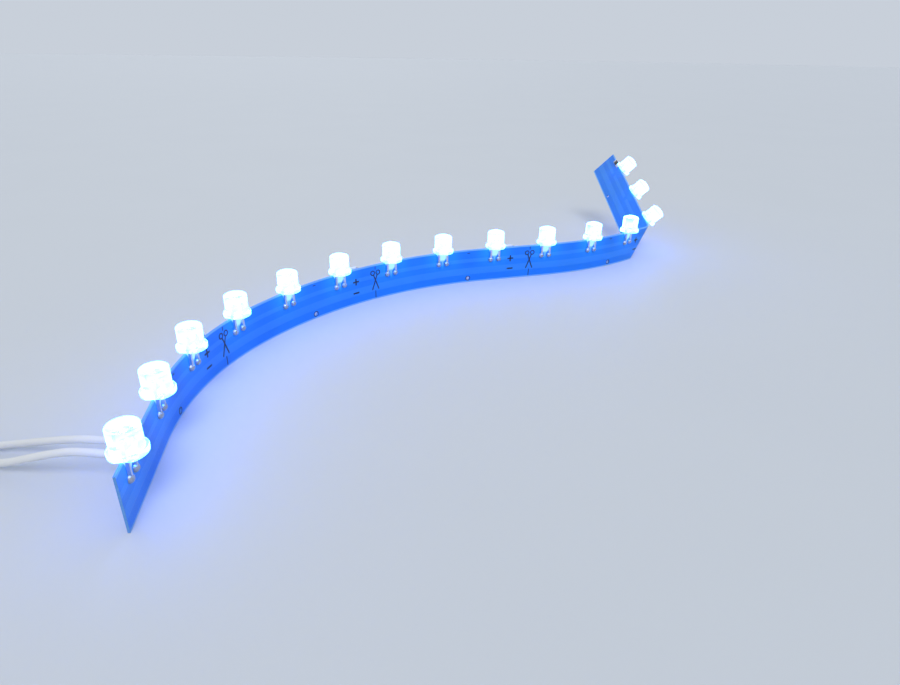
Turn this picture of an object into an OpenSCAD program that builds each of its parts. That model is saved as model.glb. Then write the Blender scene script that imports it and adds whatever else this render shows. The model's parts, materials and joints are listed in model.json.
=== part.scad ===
// Flexible LED strip light: a bare printed flex board that stands on its long edge in an
// S curve, with a row of clear straw-hat LEDs along its top edge and two supply wires.
// Flat-strip coordinates are used throughout: s runs along the strip from its supply end,
// w is the height above the bottom edge, and y is the distance behind the board's middle
// plane. The LED leads lie on the front face, which is the side of negative y.

/* [Board] */
// Length of one group, which is the shortest piece that can be cut off
group_l = 50; // [45:1:70]
// Number of groups along the strip
groups = 5; // [5:1:7]
// LEDs in one group
leds_per_group = 3; // [3:1:3]
// Height of the board, which is the width of the flat strip
board_h = 10; // [8:0.5:14]
// Thickness of the board
board_t = 0.4; // [0.2:0.05:0.8]
// Distance from the supply end to the axis of the first LED
first_led = 5.2; // [4:0.1:8]
// Diameter of the pilot hole in each group
hole_d = 1; // [0.6:0.1:1.6]
// Height of the pilot hole's centre above the bottom edge
hole_w = 1.2; // [1:0.1:2]

/* [Bends] */
// Heading of the supply end, measured from the strip's long axis
start_heading = 40; // [20:1:60]
// Length of the straight at the supply end
near_straight = 22; // [16:1:30]
// Length of the first bend
near_bend_l = 40; // [30:1:50]
// Turn of the first bend, where a left turn is positive
near_turn = -37; // [-60:1:-10]
// Length of the long bend
long_bend_l = 72; // [50:1:80]
// Turn of the long bend
long_turn = -46; // [-60:1:-10]
// Length of the straight after the long bend
mid_straight = 22; // [10:1:30]
// Turn of the counter bend, which ends at the hook
counter_turn = 23; // [5:1:50]
// The hook starts past this LED
hook_led = 12; // [12:1:12]
// Distance from that LED's axis to the hook's start, at the bottom edge
hook_after = 2.8; // [-1:0.1:3]
// Lean of the hook's bending axis towards the far end
hook_tilt = 38; // [20:1:39]
// Radius of the hook at the board's middle plane
hook_r = 2.5; // [2:0.1:2.7]
// Turn of the hook
hook_turn = 73; // [30:1:80]

/* [LEDs] */
// Diameter of the lens
lens_d = 4.8; // [4:0.1:5]
// Diameter of the flange at the lens's foot
flange_d = 5.8; // [5.4:0.1:6.2]
// Thickness of the flange
flange_h = 0.9; // [0.6:0.1:1.5]
// Depth of the flat on the flange, beside the cathode
flange_flat = 0.4; // [0.2:0.05:0.5]
// Height of the lens from the flange's underside to the rim of its dome
lens_h = 4.6; // [4.2:0.1:6]
// Rise of the low dome above its rim
dome_h = 0.7; // [0.4:0.1:1]
// Gap between the board's top edge and the flange
stand_off = 0.3; // [0.1:0.1:1]
// Width and thickness of a lead
lead_w = 0.5; // [0.4:0.05:0.6]
// Distance between the middles of the two leads
lead_pitch = 2.54; // [2.3:0.02:2.8]
// Length of the leads below the board's top edge
lead_l = 3.8; // [2.5:0.1:5]
// Height of the lead frame's head inside the lens
frame_h = 2.8; // [2.4:0.1:3]
// Outer diameter of the reflector cup
cup_d = 1.3; // [1:0.1:1.5]
// Height of the reflector cup
cup_h = 0.8; // [0.6:0.1:1]
// Side of the glowing chip in the cup
die_w = 0.35; // [0.2:0.05:0.4]
// Thickness of that chip
die_t = 0.15; // [0.1:0.05:0.2]
// Radius of a lead's solder joint
solder_r = 0.75; // [0.6:0.05:1]

/* [Resistors] */
// Length of the chip resistor
chip_l = 3.2; // [2:0.1:3.2]
// Width of the chip resistor
chip_w = 1.6; // [1.25:0.05:1.7]
// Thickness of the chip resistor
chip_t = 0.55; // [0.4:0.05:0.7]
// Length of each metal end cap
cap_l = 0.5; // [0.3:0.05:0.6]
// Depth of an end cap beyond the ceramic body
cap_step = 0.04; // [0.02:0.01:0.06]
// Distance from the third LED's axis to the middle of the resistor
chip_after = 4.6; // [4.5:0.1:6]
// Height of the resistor's top above the board's top edge
chip_proud = 0.5; // [0:0.1:0.6]

/* [Supply] */
// Distance from the supply end to the first wire's pad
wire_at = 12; // [11:0.5:13]
// Distance between the two wire pads along the strip
wire_pitch = 3.5; // [3:0.1:4]
// Height of the wire pads' middles above the bottom edge
wire_w = 5; // [4:0.1:6]
// Diameter of a wire over its insulation
wire_d = 1.3; // [1:0.1:1.5]
// Length and width of a solder pad
pad_l = 2.4; // [2:0.1:2.8]
// Thickness of a solder pad
pad_t = 0.05; // [0.03:0.01:0.1]
// Height of the pads of the two supply rails above the bottom edge
rail_w = [3, 7]; // [2:0.5:8]
// Height of the solder cone at a wire's end
wire_solder_h = 1; // [0.6:0.1:1.5]
// Turns of each wire in the coil, one above the other
coil_layers = 4; // [3:1:5]
// Radius of the coil's inner column of turns, at the middle of the wire
coil_r = 6.6; // [6.5:0.1:8]
// Thickness of the tie round the coil
tie_t = 0.3; // [0.2:0.05:0.5]
// Width of that tie
tie_l = 2.5; // [2:0.5:5]

/* [Hidden] */
$fn = 48;
overcut = 0.05;
// Clearance between the board and what is soldered to it, and between the coil and its tie.
seat = 0.04;
tie_gap = 0.1;
// The pilot hole's place in its group, in LED pitches from the first LED.
hole_pitches = 1.5;
// The head of the anode's post: its share of the frame's height, its step and its slope.
post_share = 0.75;
post_step = 0.2;
post_slope = 0.3;
// The cathode's anvil: its neck below the cup, the slope under that, and its shoulder.
neck_drop = 0.4;
neck_slope = 0.6;
shoulder = 0.2;
// The cup's well, as shares of the cup's height and diameter.
well_depth = 0.6;
well_floor = 0.45;
well_mouth = 0.85;
// The fillets at a resistor's ends: their run, and their rise as a share of its thickness.
fillet_run = 0.6;
fillet_rise = 0.7;
// The foot of a wire's solder cone as a share of its pad.
cone_share = 0.85;
// The straight run of a wire out of its solder, in wire diameters.
straight_out = 2;
// The tie's place round the coil, and the bow of its band on the inside.
tie_turn = 120;
tie_bow = 0.2;
led_pitch = group_l / leds_per_group;
leds = groups * leds_per_group;
strip_l = groups * group_l;
function led_at(i) = first_led + (i - 1) * led_pitch;

cut_share = 0.69;

// The bends, as lengths and turns, up to the start of the hook.
hook_at = led_at(hook_led) + hook_after;
counter_l = hook_at - near_straight - near_bend_l - long_bend_l - mid_straight;
bends = [
    [near_straight, 0],
    [near_bend_l, near_turn],
    [long_bend_l, long_turn],
    [mid_straight, 0],
    [counter_l, counter_turn]
];
bend_starts = [for (i = 0, sum = 0; i < len(bends); sum = sum + bends[i][0], i = i + 1) sum];
hook_l = hook_r * hook_turn * PI / 180;

// A pose is [x, y, heading]. These walk it along one bend, or along all of them.
function along(pose, run, turn) =
    turn == 0
        ? [pose.x + run * cos(pose.z), pose.y + run * sin(pose.z), pose.z]
        : let (r = run * 180 / (PI * turn))
            [
                pose.x + r * (sin(pose.z + turn) - sin(pose.z)),
                pose.y - r * (cos(pose.z + turn) - cos(pose.z)),
                pose.z + turn
            ];
function pose_at(s, i = 0, pose = [0, 0, start_heading]) =
    i == len(bends) || s <= bends[i][0]
        ? along(pose, s, i == len(bends) ? 0 : bends[i][1] * s / bends[i][0])
        : pose_at(s - bends[i][0], i + 1, along(pose, bends[i][0], bends[i][1]));
hook_pose = pose_at(hook_at);

// The hook bends the flat strip round an axis that leans along it by hook_tilt, so that the
// tail past it rises and leans outwards. Here c runs across that axis and m along it.
function across(s, w) = (s - hook_at) * cos(hook_tilt) - w * sin(hook_tilt);
function axial(s, w) = (s - hook_at) * sin(hook_tilt) + w * cos(hook_tilt);
function hooked(c, y, m) =
    let (a = min(max(c, 0), hook_l) / hook_r * 180 / PI)
    let (past = max(c - hook_l, 0))
        [
            min(c, 0) + (hook_r - y) * sin(a) + past * cos(a),
            hook_r - (hook_r - y) * cos(a) + past * sin(a),
            m
        ];
function turned_y(p, a) = [p.x * cos(a) + p.z * sin(a), p.y, p.z * cos(a) - p.x * sin(a)];
function turned_z(p, a) = [p.x * cos(a) - p.y * sin(a), p.x * sin(a) + p.y * cos(a), p.z];
function from_hook(p) = turned_z(turned_y(p, hook_tilt), hook_pose.z) + [hook_pose.x, hook_pose.y, 0];
function place(s, y, w) =
    s <= hook_at
        ? let (p = pose_at(s)) [p.x - y * sin(p.z), p.y + y * cos(p.z), w]
        : from_hook(hooked(across(s, w), y, axial(s, w)));

// The board's sections, each a pair of stations: at its bottom edge and at its top edge.
// They stand upright up to the hook and lean with the bending axis through it.
span = 2.5;
hook_steps = 16;
board_edges = concat(
    [
        for (i = [0 : len(bends) - 1])
            let (n = bends[i][1] == 0 ? 1 : ceil(bends[i][0] / span))
            for (k = [0 : n - 1])
                let (s = bend_starts[i] + bends[i][0] * k / n)
                [s, s]
    ],
    [[hook_at - board_t, hook_at - board_t]],
    [
        for (k = [0 : hook_steps])
            let (s = hook_at + hook_l * k / hook_steps / cos(hook_tilt))
            [s, s + board_h * tan(hook_tilt)]
    ],
    [[strip_l, strip_l]]
);

// The middle of the whole strip's box, without its wires, is the part's origin.
led_y = -(board_t + lead_w) / 2 - seat;
rim = [for (a = [0 : 30 : 330]) [cos(a), sin(a)]];
reach = concat(
    [for (s = [0 : strip_l / 100 : strip_l], y = [-board_t / 2, board_t / 2], w = [0, board_h]) place(s, y, w)],
    [for (i = [1 : leds], q = rim)
        place(led_at(i) + q.x * flange_d / 2, led_y + q.y * flange_d / 2, board_h + stand_off)],
    [for (i = [1 : leds], q = rim)
        place(led_at(i) + q.x * lens_d / 2, led_y + q.y * lens_d / 2, board_h + stand_off + lens_h)]
);
function middle(values) = (min(values) + max(values)) / 2;
centre = [middle([for (p = reach) p.x]), middle([for (p = reach) p.y])];

// The wires' routes, in the strip's own axes, from the face of the solder to the coil.
route_points = 3;
coil_at = [-10, 42];
coil_h = coil_layers * wire_d;
coil_lift = tie_t + tie_gap;
wire_face = board_t / 2 + seat + pad_t;
wire_start = wire_face + wire_solder_h;
positive_route = [
    [5.5, 12.5, 5.4],
    [3, 17, 5.6],
    [0.5, 22, 4.4],
    [-1.5, 27, 2.6],
    [-3, 31.5, 1.4],
    [-4.2, 35.2, 1.05]
];
negative_route = [
    [8.5, 14.5, 5.2],
    [6, 20, 5],
    [4, 26, 3.6],
    [2.5, 31, 2.2],
    [0.5, 35.5, 1.2],
    [-1.8, 38, 1.05]
];

function two_digits(i) = str(i < 10 ? "0" : "", i);
function led_name(i, piece) = str("led_", two_digits(i), "_", piece);

// Moves what is drawn in the strip's own axes to the part's origin.
module centred() translate([-centre.x, -centre.y, 0]) children();

// Moves what is drawn in flat-strip coordinates past the hook.
module on_tail() {
    translate([hook_pose.x, hook_pose.y, 0])
        rotate([0, 0, hook_pose.z])
            rotate([0, hook_tilt, 0])
                translate([hook_r * sin(hook_turn), hook_r * (1 - cos(hook_turn)), 0])
                    rotate([0, 0, hook_turn])
                        translate([-hook_l, 0, 0])
                            rotate([0, -hook_tilt, 0])
                                children();
}

// Moves what is drawn at the strip's start to station s, on the upright part or the tail.
module at_station(s) {
    upright = s - hook_at < board_h * tan(hook_tilt);
    pose = pose_at(min(s, hook_at));
    if (upright)
        translate([pose.x, pose.y, 0])
            rotate([0, 0, pose.z])
                translate([max(s - hook_at, 0), 0, 0])
                    children();
    else
        on_tail() translate([s - hook_at, 0, 0]) children();
}

// A closed skin over rings of points that are listed in the same turning sense.
module tube(rings) {
    n = len(rings[0]);
    last = len(rings) - 1;
    sides = [
        for (k = [0 : last - 1], j = [0 : n - 1])
            let (a = k * n + j, b = k * n + (j + 1) % n)
            [[a, a + n, b], [b, a + n, b + n]]
    ];
    polyhedron(
        points = [for (ring = rings, p = ring) p],
        faces = concat(
            [[for (j = [0 : n - 1]) j]],
            [for (pair = sides, face = pair) face],
            [[for (j = [n - 1 : -1 : 0]) last * n + j]]
        )
    );
}

// The printed flex board: the flat strip swept through its bends, with the pilot holes.
module flex_board() {
    hole_s = [for (g = [0 : groups - 1]) first_led + g * group_l + hole_pitches * led_pitch];
    color("dodgerblue") centred() difference() {
        tube([
            for (edge = board_edges) [
                place(edge[0], -board_t / 2, 0),
                place(edge[0], board_t / 2, 0),
                place(edge[1], board_t / 2, board_h),
                place(edge[1], -board_t / 2, board_h)
            ]
        ]);
        for (s = hole_s)
            at_station(s)
                translate([0, 0, hole_w])
                    rotate([90, 0, 0])
                        cylinder(h = 4 * board_t, d = hole_d, center = true);
    }
}

// Moves what is drawn on an LED's axis, above its flange's underside, to LED i.
module on_led(i) {
    centred() at_station(led_at(i)) translate([0, led_y, board_h + stand_off]) children();
}

// The clear epoxy of one LED: a round foot with a flat, a straight barrel and a low dome.
module lens_shape() {
    dome_r = (pow(lens_d / 2, 2) + dome_h * dome_h) / (2 * dome_h);
    difference() {
        cylinder(h = flange_h, d = flange_d);
        translate([-flange_d / 2, -flange_d / 2, -overcut])
            cube([flange_flat, flange_d, flange_h + 2 * overcut]);
    }
    cylinder(h = lens_h, d = lens_d);
    intersection() {
        cylinder(h = lens_h + dome_h, d = lens_d);
        translate([0, 0, lens_h + dome_h - dome_r]) sphere(r = dome_r, $fn = 96);
    }
}

// A flat piece of lead frame whose outline is given along the strip and up the LED.
module stamping(outline) {
    rotate([90, 0, 0]) linear_extrude(lead_w, center = true) polygon(outline);
}

// The post that takes the chip's bond wire, with the lead that it ends in.
module anode_shape() {
    foot = -(stand_off + lead_l);
    inner = lead_pitch / 2 - lead_w / 2;
    outer = lead_pitch / 2 + lead_w / 2;
    head = frame_h * post_share;
    stamping([
        [inner, foot], [outer, foot], [outer, frame_h], [inner - post_step, frame_h],
        [inner - post_step, head + post_slope], [inner, head]
    ]);
}

// The anvil that carries the reflector cup on the LED's axis, with the lead that it ends in.
module cathode_shape() {
    foot = -(stand_off + lead_l);
    inner = -(lead_pitch / 2 - lead_w / 2);
    outer = -(lead_pitch / 2 + lead_w / 2);
    neck = frame_h - cup_h - neck_drop;
    difference() {
        union() {
            stamping([
                [outer, foot], [inner, foot], [inner, neck - neck_slope], [cup_d / 4, neck],
                [cup_d / 4, frame_h - shoulder], [outer, frame_h - shoulder]
            ]);
            translate([0, 0, frame_h - cup_h]) cylinder(h = cup_h, d = cup_d);
        }
        translate([0, 0, frame_h - cup_h * well_depth])
            cylinder(h = cup_h * well_depth + overcut, d1 = cup_d * well_floor, d2 = cup_d * well_mouth);
    }
}

module led_lens(i) {
    color("lightcyan", 0.5) on_led(i) difference() {
        lens_shape();
        anode_shape();
        cathode_shape();
        led_die();
    }
}

module led_anode(i) {
    color("silver") on_led(i) anode_shape();
}

module led_cathode(i) {
    color("silver") on_led(i) cathode_shape();
}

// The glowing chip on the floor of the reflector cup.
module led_die() {
    translate([-die_w / 2, -die_w / 2, frame_h - cup_h * well_depth]) cube([die_w, die_w, die_t]);
}

module led_dies() {
    color("deepskyblue") for (i = [1 : leds]) on_led(i) led_die();
}

// The solder that holds the end of each lead on the front face of the board.
module led_solder() {
    face = lead_w / 2;
    end = -(stand_off + lead_l) + solder_r / 2;
    color("gainsboro") for (i = [1 : leds], side = [-1, 1])
        on_led(i)
            difference() {
                translate([side * lead_pitch / 2, face, end]) sphere(r = solder_r);
                translate([side * lead_pitch / 2 - solder_r, face, end - solder_r])
                    cube([2 * solder_r, solder_r, 2 * solder_r]);
                translate([side * lead_pitch / 2 - lead_w / 2, face - lead_w, -(stand_off + lead_l)])
                    cube([lead_w, 2 * lead_w, lead_l]);
            }
}

// Moves what is drawn at a resistor's middle, on the back face, to group g.
module on_resistor(g) {
    centred()
        at_station(led_at(g * leds_per_group) + chip_after)
            translate([0, board_t / 2 + seat, board_h + chip_proud - chip_w / 2])
                children();
}

// One chip resistor: a ceramic block between two metal end caps.
module resistor(g) {
    color("dimgray") on_resistor(g) {
        translate([-chip_l / 2 + cap_l, cap_step, -chip_w / 2 + cap_step])
            cube([chip_l - 2 * cap_l, chip_t - 2 * cap_step, chip_w - 2 * cap_step]);
        for (x = [-chip_l / 2, chip_l / 2 - cap_l])
            translate([x, 0, -chip_w / 2]) cube([cap_l, chip_t, chip_w]);
    }
}

// The sloped solder at both ends of each resistor, on the back face.
module resistor_solder() {
    rise = chip_t * fillet_rise;
    down = chip_w / 2;
    up = board_h - (board_h + chip_proud - chip_w / 2);
    color("gainsboro") for (g = [1 : groups], side = [0, 1])
        on_resistor(g)
            mirror([side, 0, 0])
                translate([chip_l / 2, 0, -down])
                    linear_extrude(down + up)
                        polygon([[0, 0], [fillet_run, 0], [0, rise]]);
}

// A bare pad that follows the back face, centred on station s and height w.
module back_pad(s, w, l, h) {
    inner = board_t / 2 + seat / 2;
    tube([
        for (k = [-4 : 4])
            let (at = s + l * k / 8)
            [
                place(at, inner, w - h / 2),
                place(at, inner + pad_t, w - h / 2),
                place(at, inner + pad_t, w + h / 2),
                place(at, inner, w + h / 2)
            ]
    ]);
}

// The station of the cut line after group g.
function cut_at(g) = led_at(g * leds_per_group) + cut_share * led_pitch;

// The pads: one under each wire, and a pair across every cut line for new wires.
module supply_pads() {
    color("goldenrod") centred() {
        for (k = [0, 1]) back_pad(wire_at + k * wire_pitch, wire_w, pad_l, pad_l);
        for (g = [1 : groups - 1], w = rail_w) back_pad(cut_at(g), w, pad_l, pad_l / 2);
    }
}

// A cone of solder at each wire's end.
module wire_solder() {
    color("gainsboro") centred() for (k = [0, 1])
        at_station(wire_at + k * wire_pitch)
            translate([0, wire_face, wire_w])
                rotate([-90, 0, 0])
                    cylinder(h = wire_solder_h, d1 = pad_l * cone_share, d2 = wire_d);
}

// A wire: its first ring lies on the solder's face, then it follows its route.
function unit(v) = v / norm(v);
function ring_at(p, ahead) =
    let (side = unit(cross([0, 0, 1], ahead)))
    let (up = cross(ahead, side))
        [for (a = [0 : 45 : 315]) p + wire_d / 2 * (cos(a) * side + sin(a) * up)];
module wire(k, route) {
    pose = pose_at(wire_at + k * wire_pitch);
    out = [-sin(pose.z), cos(pose.z), 0];
    start = [pose.x, pose.y, wire_w] + wire_start * out;
    path = smooth(concat([start, start + straight_out * wire_d * out], route));
    last = len(path) - 1;
    tube([
        for (i = [0 : last])
            ring_at(path[i], i == 0 ? out : unit(path[min(i + 1, last)] - path[i - 1]))
    ]);
}

// Rounds a route: each span is cut in thirds along a curve through all of its points.
function curve(a, b, c, d, t) =
    0.5 * (2 * b + (c - a) * t + (2 * a - 5 * b + 4 * c - d) * t * t + (3 * b - a - 3 * c + d) * t * t * t);
function smooth(p) =
    let (n = len(p) - 1)
    concat(
        [for (i = [0 : n - 1], k = [0 : route_points - 1])
            curve(p[max(i - 1, 0)], p[i], p[i + 1], p[min(i + 2, n)], k / route_points)],
        [p[n]]
    );

module wire_positive() {
    color("whitesmoke") centred() wire(0, positive_route);
}

module wire_negative() {
    color("gainsboro") centred() wire(1, negative_route);
}

// A ring round the coil's axis whose square section is the coil's, grown by a gap.
module coil_ring(gap) {
    rotate_extrude(angle = 360, $fn = 96)
        translate([coil_r - wire_d / 2 - gap, -gap])
            square([2 * (wire_d + gap), coil_h + 2 * gap]);
}

// The outer shape of the coil that holds the rest of both wires.
module lead_coil() {
    color("gainsboro") centred() translate([coil_at.x, coil_at.y, coil_lift]) coil_ring(0);
}

// A band round the coil's section, on the side away from the strip.
module coil_tie() {
    color("white") centred() translate([coil_at.x, coil_at.y, 0]) rotate([0, 0, tie_turn]) difference() {
        translate([coil_r - wire_d / 2 - coil_lift - tie_bow, -tie_l / 2, 0])
            cube([2 * (wire_d + coil_lift) + tie_bow, tie_l, coil_h + 2 * coil_lift]);
        translate([0, 0, coil_lift]) coil_ring(tie_gap);
    }
}

flex_board();
for (i = [1 : leds]) led_lens(i);
for (i = [1 : leds]) led_anode(i);
for (i = [1 : leds]) led_cathode(i);
for (g = [1 : groups]) resistor(g);
led_dies();
led_solder();
resistor_solder();
supply_pads();
wire_solder();
wire_positive();
wire_negative();
lead_coil();
coil_tie();
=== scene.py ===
# %% [markdown]
# # A flexible LED strip light
# The real object is a ribbon of printed circuit, a quarter of a metre long and as wide as a finger
# nail, that stands on its long edge in an S curve. Fifteen clear straw-hat LEDs stand in a row on
# its top edge, and two thin wires leave its near end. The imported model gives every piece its
# place, and this lesson gives it its looks.

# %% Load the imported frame
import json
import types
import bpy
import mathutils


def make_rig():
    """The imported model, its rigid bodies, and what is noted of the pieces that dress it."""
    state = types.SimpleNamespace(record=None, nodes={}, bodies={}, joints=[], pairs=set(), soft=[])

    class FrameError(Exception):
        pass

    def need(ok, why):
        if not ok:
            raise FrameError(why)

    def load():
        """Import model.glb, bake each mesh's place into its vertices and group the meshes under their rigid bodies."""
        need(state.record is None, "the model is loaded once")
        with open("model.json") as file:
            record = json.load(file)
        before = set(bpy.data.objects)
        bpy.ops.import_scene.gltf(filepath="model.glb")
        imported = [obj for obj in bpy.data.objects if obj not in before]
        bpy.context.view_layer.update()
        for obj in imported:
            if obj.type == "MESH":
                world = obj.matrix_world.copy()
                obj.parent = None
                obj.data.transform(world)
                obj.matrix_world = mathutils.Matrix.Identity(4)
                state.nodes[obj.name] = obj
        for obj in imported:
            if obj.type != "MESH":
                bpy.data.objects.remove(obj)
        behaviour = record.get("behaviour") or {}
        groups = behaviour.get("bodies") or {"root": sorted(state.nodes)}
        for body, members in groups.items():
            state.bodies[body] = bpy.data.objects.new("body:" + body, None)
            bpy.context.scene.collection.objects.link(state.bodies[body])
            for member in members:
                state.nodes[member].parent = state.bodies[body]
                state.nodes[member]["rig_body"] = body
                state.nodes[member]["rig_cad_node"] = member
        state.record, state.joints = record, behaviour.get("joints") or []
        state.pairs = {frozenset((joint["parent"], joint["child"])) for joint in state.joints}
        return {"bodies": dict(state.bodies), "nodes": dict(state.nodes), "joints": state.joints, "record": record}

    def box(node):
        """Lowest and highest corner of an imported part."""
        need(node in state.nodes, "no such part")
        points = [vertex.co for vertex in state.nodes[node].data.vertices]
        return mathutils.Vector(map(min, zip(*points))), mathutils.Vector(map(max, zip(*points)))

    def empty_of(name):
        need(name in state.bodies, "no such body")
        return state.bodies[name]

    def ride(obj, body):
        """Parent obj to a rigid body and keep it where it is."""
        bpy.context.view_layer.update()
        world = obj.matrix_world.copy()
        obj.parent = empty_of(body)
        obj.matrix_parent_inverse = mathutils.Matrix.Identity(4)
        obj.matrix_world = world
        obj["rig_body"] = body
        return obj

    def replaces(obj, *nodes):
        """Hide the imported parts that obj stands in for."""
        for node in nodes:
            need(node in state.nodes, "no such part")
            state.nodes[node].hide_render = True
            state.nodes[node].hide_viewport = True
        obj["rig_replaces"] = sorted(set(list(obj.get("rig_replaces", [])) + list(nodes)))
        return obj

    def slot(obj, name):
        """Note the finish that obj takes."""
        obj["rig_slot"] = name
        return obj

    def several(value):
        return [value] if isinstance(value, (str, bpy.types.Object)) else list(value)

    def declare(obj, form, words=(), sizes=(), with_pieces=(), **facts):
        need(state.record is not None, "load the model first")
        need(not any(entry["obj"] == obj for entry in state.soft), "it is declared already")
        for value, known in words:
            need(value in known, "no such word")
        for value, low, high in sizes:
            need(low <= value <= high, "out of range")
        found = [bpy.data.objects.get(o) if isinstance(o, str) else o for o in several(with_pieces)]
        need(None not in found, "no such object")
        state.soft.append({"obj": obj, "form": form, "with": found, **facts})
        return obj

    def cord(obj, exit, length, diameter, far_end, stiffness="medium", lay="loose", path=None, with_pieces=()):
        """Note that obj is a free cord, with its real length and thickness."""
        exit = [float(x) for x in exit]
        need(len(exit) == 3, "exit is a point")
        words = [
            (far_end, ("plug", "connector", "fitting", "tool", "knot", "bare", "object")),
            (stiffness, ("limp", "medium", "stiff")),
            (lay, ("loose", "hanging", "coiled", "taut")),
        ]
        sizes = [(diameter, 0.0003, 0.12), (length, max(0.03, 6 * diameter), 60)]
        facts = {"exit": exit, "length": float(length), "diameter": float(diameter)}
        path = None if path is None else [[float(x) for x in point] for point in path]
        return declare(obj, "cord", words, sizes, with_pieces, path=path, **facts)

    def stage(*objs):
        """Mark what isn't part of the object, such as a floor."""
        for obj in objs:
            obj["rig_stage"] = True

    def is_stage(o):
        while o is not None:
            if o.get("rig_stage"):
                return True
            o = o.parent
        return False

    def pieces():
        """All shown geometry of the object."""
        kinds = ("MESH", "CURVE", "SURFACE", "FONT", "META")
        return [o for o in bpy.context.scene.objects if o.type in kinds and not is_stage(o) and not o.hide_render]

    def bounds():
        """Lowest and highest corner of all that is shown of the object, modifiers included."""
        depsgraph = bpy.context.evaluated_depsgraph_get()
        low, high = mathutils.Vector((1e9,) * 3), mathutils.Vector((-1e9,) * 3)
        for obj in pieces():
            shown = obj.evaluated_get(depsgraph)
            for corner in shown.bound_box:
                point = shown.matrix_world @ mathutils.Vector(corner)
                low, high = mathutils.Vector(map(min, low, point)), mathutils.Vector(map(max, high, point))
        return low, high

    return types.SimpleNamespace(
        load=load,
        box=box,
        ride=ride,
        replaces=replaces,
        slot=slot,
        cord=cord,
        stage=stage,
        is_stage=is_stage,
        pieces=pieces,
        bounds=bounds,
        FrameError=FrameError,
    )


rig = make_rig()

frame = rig.load()

import json
import math

import bmesh
import bpy
from mathutils import Matrix, Vector

cad_low, cad_high = (corner.copy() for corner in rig.bounds())
print("CAD box, mm:", [round(1000 * v, 1) for v in (*cad_low, *cad_high)])

# %% [markdown]
# ## Flat first, then bent
# The maker prints the strip flat and bends it afterwards, and it is easiest to draw it that way
# too. On the flat strip, s runs along it from the supply end, w is the height above the edge that
# it stands on, and y is the distance behind its middle plane, all in millimetres. One function
# then bends any such point into the finished curve: straights and arcs past the twelfth LED, and
# a slanted hook that makes the tail rise and lean outwards. Drawing straight onto the bent board
# would need a new sum for each mark.

# %% The strip's sizes and its bends
MM = 0.001
LEDS, PER_GROUP, GROUP = 15, 3, 50.0
PITCH, FIRST_LED = GROUP / PER_GROUP, 5.2
BOARD_H, BOARD_T, STRIP = 10.0, 0.4, 250.0
HOOK_LED, HOOK_AFTER = 12, 2.8
HOOK_AT = FIRST_LED + (HOOK_LED - 1) * PITCH + HOOK_AFTER
HOOK_R, HOOK_TURN, HOOK_TILT = 2.5, math.radians(73), math.radians(38)
HOOK_L = HOOK_R * HOOK_TURN
# Each bend is its length along the strip and its turn in degrees. The last one ends at the hook.
BENDS, LAST_TURN, START_HEADING = [(22, 0), (40, -37), (72, -46), (22, 0)], 23, 40
BENDS.append((HOOK_AT - sum(length for length, turn in BENDS), LAST_TURN))
LED_Y, STAND_OFF = -0.49, 0.3


def led_at(i):
    """The station of LED number i, counted from 1 at the supply end."""
    return FIRST_LED + (i - 1) * PITCH


def heading_at(s):
    """Place and heading of the upright strip's middle plane at station s."""
    x = y = 0.0
    heading = math.radians(START_HEADING)
    for length, turn in BENDS:
        run = min(s, length)
        bend = math.radians(turn) * run / length
        if turn:
            radius = run / bend if bend else 0
            x += radius * (math.sin(heading + bend) - math.sin(heading))
            y -= radius * (math.cos(heading + bend) - math.cos(heading))
        else:
            x, y = x + run * math.cos(heading), y + run * math.sin(heading)
        heading += bend
        s -= run
        if s <= 0:
            break
    return x, y, heading


HOOK_POSE = heading_at(HOOK_AT)
print("the hook starts", [round(v, 2) for v in HOOK_POSE])

# %% Bend a point of the flat strip
lens_low, lens_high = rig.box("led_01_lens")
x, y, heading = heading_at(FIRST_LED)
first_axis = Vector((x - LED_Y * math.sin(heading), y + LED_Y * math.cos(heading)))
SHIFT = Vector((*((lens_low + lens_high).xy / 2 / MM - first_axis), 0.0))


def bent(s, y, w):
    """The point (s, y, w) of the flat strip, bent into its place in the row frame, in metres."""
    if s <= HOOK_AT:
        x0, y0, heading = heading_at(s)
        point = Vector((x0 - y * math.sin(heading), y0 + y * math.cos(heading), w))
    else:
        c = (s - HOOK_AT) * math.cos(HOOK_TILT) - w * math.sin(HOOK_TILT)
        m = (s - HOOK_AT) * math.sin(HOOK_TILT) + w * math.cos(HOOK_TILT)
        a = min(max(c, 0), HOOK_L) / HOOK_R
        past = max(c - HOOK_L, 0)
        point = Vector((min(c, 0) + (HOOK_R - y) * math.sin(a) + past * math.cos(a),
                        HOOK_R - (HOOK_R - y) * math.cos(a) + past * math.sin(a), m))
        point.rotate(Matrix.Rotation(HOOK_TILT, 3, "Y"))
        point.rotate(Matrix.Rotation(HOOK_POSE[2], 3, "Z"))
        point += Vector((HOOK_POSE[0], HOOK_POSE[1], 0))
    return (point + SHIFT) * MM


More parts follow.
